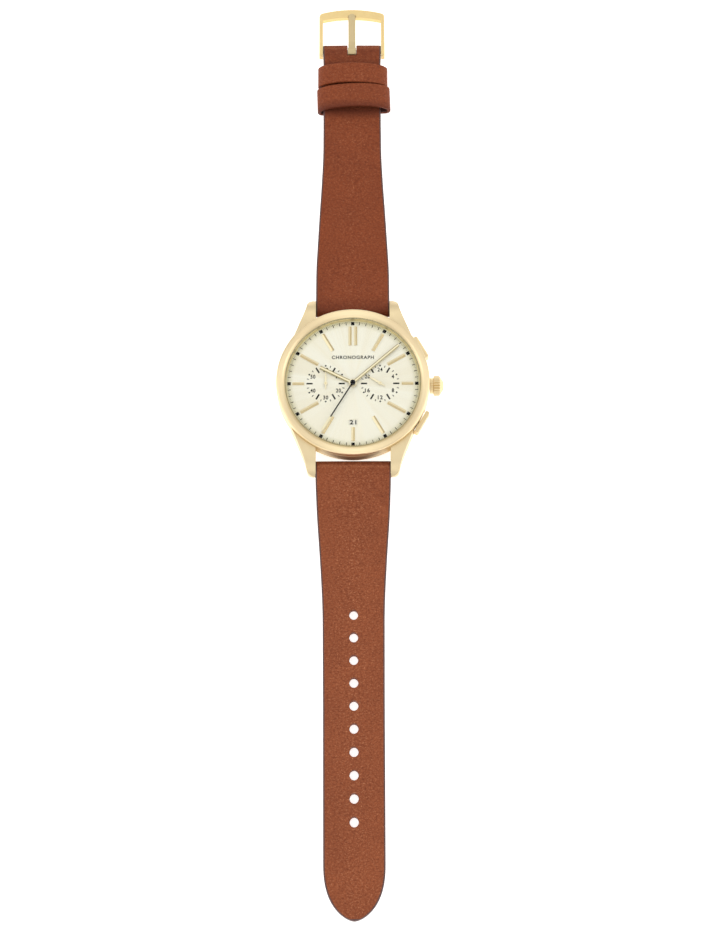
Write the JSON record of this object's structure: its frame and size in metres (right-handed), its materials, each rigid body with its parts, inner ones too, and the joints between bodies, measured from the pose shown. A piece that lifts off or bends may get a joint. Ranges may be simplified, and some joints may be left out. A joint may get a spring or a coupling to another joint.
{
  "type": "chronograph wristwatch",
  "caption": "Analogue chronograph wristwatch with a round gold-tone case, subdials, crown and push-pieces, on a tan leather strap with keepers and a tongue buckle.",
  "frame": {"origin": "centre of the case back's outer face, which rests on the table", "axes": "+Y points to 12 o'clock along the strap, +X to the crown at 3 o'clock, +Z out of the dial"},
  "size_m": [0.045, 0.256, 0.0089],
  "materials": {
    "case_satin": "satin brushed gold-tone",
    "case_polished": "polished gold-tone",
    "crystal": "clear",
    "gasket": "matt black",
    "back_steel": "circular brushed",
    "movement_brass": "plain brass",
    "movement_steel": "fine brushed",
    "movement_plastic": "moulded",
    "dial_face": "champagne sunray",
    "marker_gold": "polished gold-tone",
    "hand_black": "gloss black",
    "date_white": "printed",
    "board_green": "lacquered",
    "coil_copper": "enamelled wire",
    "soft_iron": "bright",
    "strap_leather": "grained tan, waxed"
  },
  "bodies": {
    "case": {"mid_case": "case_satin", "bezel": "case_satin", "crystal": "crystal", "crystal_gasket": "movement_plastic", "inner_ring": "case_polished", "case_back": "back_steel", "case_back_gasket": "gasket", "case_back_screws": "movement_steel", "crown_tube": "movement_steel", "pusher_tubes": "movement_steel", "spring_bars": "movement_steel", "start_spring": "movement_steel", "reset_spring": "movement_steel", "dial": "dial_face", "hour_markers": "marker_gold", "main_plate": "movement_brass", "calendar_plate": "movement_plastic", "movement_holder": "movement_plastic", "train_bridge": "movement_brass", "movement_screws": "movement_steel", "battery": "movement_steel", "battery_clamp": "movement_steel", "circuit_board": "board_green", "quartz_can": "movement_steel", "motor_coils": "coil_copper", "coil_cores": "soft_iron", "stators": "soft_iron"},
    "stem_slide": {"crown_gasket": "gasket"},
    "crown": {"crown": "case_polished", "stem": "movement_steel"},
    "setting_lever": {"setting_lever": "movement_steel"},
    "pusher_start": {"pusher_start": "case_satin"},
    "pusher_reset": {"pusher_reset": "case_satin"},
    "start_lever": {"start_lever": "movement_steel"},
    "reset_lever": {"reset_lever": "movement_steel"},
    "minute": {"minute_arbor": "movement_brass", "minute_hand": "marker_gold"},
    "minute_wheel": {"minute_wheel": "movement_brass"},
    "hour": {"hour_wheel": "movement_brass", "hour_hand": "marker_gold"},
    "idler": {"idler_wheel": "movement_brass"},
    "day": {"day_wheel": "movement_brass", "date_finger": "movement_plastic", "day_hand": "marker_gold"},
    "date_ring": {"date_ring": "date_white"},
    "chrono_seconds": {"chrono_arbor": "movement_steel", "chrono_hand": "hand_black"},
    "chrono_wheel": {"chrono_wheel": "movement_brass"},
    "counter": {"counter_wheel": "movement_brass", "counter_hand": "marker_gold"},
    "rotor_time": {"rotor_time": "soft_iron"},
    "rotor_chrono": {"rotor_chrono": "soft_iron"},
    "strap_upper": {"strap_upper": "strap_leather", "keeper_fixed": "strap_leather"},
    "strap_lower": {"strap_lower": "strap_leather"},
    "keeper_free": {"keeper_free": "strap_leather"},
    "buckle": {"buckle_frame": "case_satin", "buckle_bar": "movement_steel"},
    "tongue": {"buckle_tongue": "case_satin"}
  },
  "joints": [
    {"name": "crown_pull", "type": "slide", "parent": "case", "child": "stem_slide", "axis": [1, 0, 0], "range_m": [0, 0.0008]},
    {"name": "crown_turn", "type": "hinge", "parent": "stem_slide", "child": "crown", "pos_m": [0, 0, 0.0044], "axis": [1, 0, 0], "continuous": true},
    {"name": "setting_lever_pivot", "type": "hinge", "parent": "case", "child": "setting_lever", "pos_m": [0.01285, 0.003, 0.0036], "axis": [0, 0, 1], "range_deg": [0, 19]},
    {"name": "start_press", "type": "slide", "parent": "case", "child": "pusher_start", "axis": [-0.866, -0.5, 0], "range_m": [0, 0.0008], "stiffness_N_per_m": 1500, "springref_m": -0.0005, "deforming": ["start_spring"]},
    {"name": "reset_press", "type": "slide", "parent": "case", "child": "pusher_reset", "axis": [-0.866, 0.5, 0], "range_m": [0, 0.0008], "stiffness_N_per_m": 1500, "springref_m": -0.0005, "deforming": ["reset_spring"]},
    {"name": "start_lever_pivot", "type": "hinge", "parent": "case", "child": "start_lever", "pos_m": [0.00943, 0.01006, 0.0036], "axis": [0, 0, 1], "range_deg": [-12, 0]},
    {"name": "reset_lever_pivot", "type": "hinge", "parent": "case", "child": "reset_lever", "pos_m": [0.0131, -0.00355, 0.0036], "axis": [0, 0, 1], "range_deg": [-14, 0]},
    {"name": "minute_turn", "type": "hinge", "parent": "case", "child": "minute", "pos_m": [0, 0, 0], "axis": [0, 0, 1], "continuous": true},
    {"name": "minute_wheel_turn", "type": "hinge", "parent": "case", "child": "minute_wheel", "pos_m": [0, 0.00288, 0], "axis": [0, 0, 1], "continuous": true},
    {"name": "hour_turn", "type": "hinge", "parent": "case", "child": "hour", "pos_m": [0, 0, 0], "axis": [0, 0, 1], "continuous": true},
    {"name": "idler_turn", "type": "hinge", "parent": "case", "child": "idler", "pos_m": [0.00325, 0, 0], "axis": [0, 0, 1], "continuous": true},
    {"name": "day_turn", "type": "hinge", "parent": "case", "child": "day", "pos_m": [0.0073, 0, 0], "axis": [0, 0, 1], "continuous": true},
    {"name": "date_turn", "type": "hinge", "parent": "case", "child": "date_ring", "pos_m": [0, 0, 0], "axis": [0, 0, 1], "continuous": true},
    {"name": "chrono_turn", "type": "hinge", "parent": "case", "child": "chrono_seconds", "pos_m": [0, 0, 0], "axis": [0, 0, 1], "continuous": true},
    {"name": "chrono_wheel_turn", "type": "hinge", "parent": "case", "child": "chrono_wheel", "pos_m": [-0.00316, 0.0015, 0], "axis": [0, 0, 1], "continuous": true},
    {"name": "counter_turn", "type": "hinge", "parent": "case", "child": "counter", "pos_m": [-0.0073, 0, 0], "axis": [0, 0, 1], "continuous": true},
    {"name": "rotor_time_turn", "type": "hinge", "parent": "case", "child": "rotor_time", "pos_m": [-0.0005, 0.0087, 0], "axis": [0, 0, 1], "continuous": true},
    {"name": "rotor_chrono_turn", "type": "hinge", "parent": "case", "child": "rotor_chrono", "pos_m": [-0.00368, -0.00788, 0], "axis": [0, 0, 1], "continuous": true},
    {"name": "strap_upper_hinge", "type": "hinge", "parent": "case", "child": "strap_upper", "pos_m": [0, 0.0224, 0.0026], "axis": [1, 0, 0], "range_deg": [-80, 30]},
    {"name": "strap_lower_hinge", "type": "hinge", "parent": "case", "child": "strap_lower", "pos_m": [0, -0.0224, 0.0026], "axis": [1, 0, 0], "range_deg": [-30, 80]},
    {"name": "keeper_slide", "type": "slide", "parent": "strap_upper", "child": "keeper_free", "axis": [0, 1, 0], "range_m": [-0.014, 0]},
    {"name": "buckle_hinge", "type": "hinge", "parent": "strap_upper", "child": "buckle", "pos_m": [0, 0.1004, 0.0022], "axis": [1, 0, 0], "range_deg": [-45, 45]},
    {"name": "tongue_hinge", "type": "hinge", "parent": "buckle", "child": "tongue", "pos_m": [0, 0.1004, 0.0022], "axis": [1, 0, 0], "range_deg": [0, 50]}
  ],
  "couplings": [
    {"joint": "minute_wheel_turn", "follows": "minute_turn", "ratio": -0.33333},
    {"joint": "hour_turn", "follows": "minute_turn", "ratio": 0.083333},
    {"joint": "idler_turn", "follows": "minute_turn", "ratio": -0.027211},
    {"joint": "day_turn", "follows": "minute_turn", "ratio": 0.041667},
    {"joint": "chrono_wheel_turn", "follows": "chrono_turn", "ratio": -0.16667},
    {"joint": "counter_turn", "follows": "chrono_turn", "ratio": 0.016667},
    {"joint": "start_lever_pivot", "follows": "start_press", "rad_per_m": -250.1},
    {"joint": "reset_lever_pivot", "follows": "reset_press", "rad_per_m": -287.8},
    {"joint": "setting_lever_pivot", "follows": "crown_pull", "rad_per_m": 404.59}
  ]
}
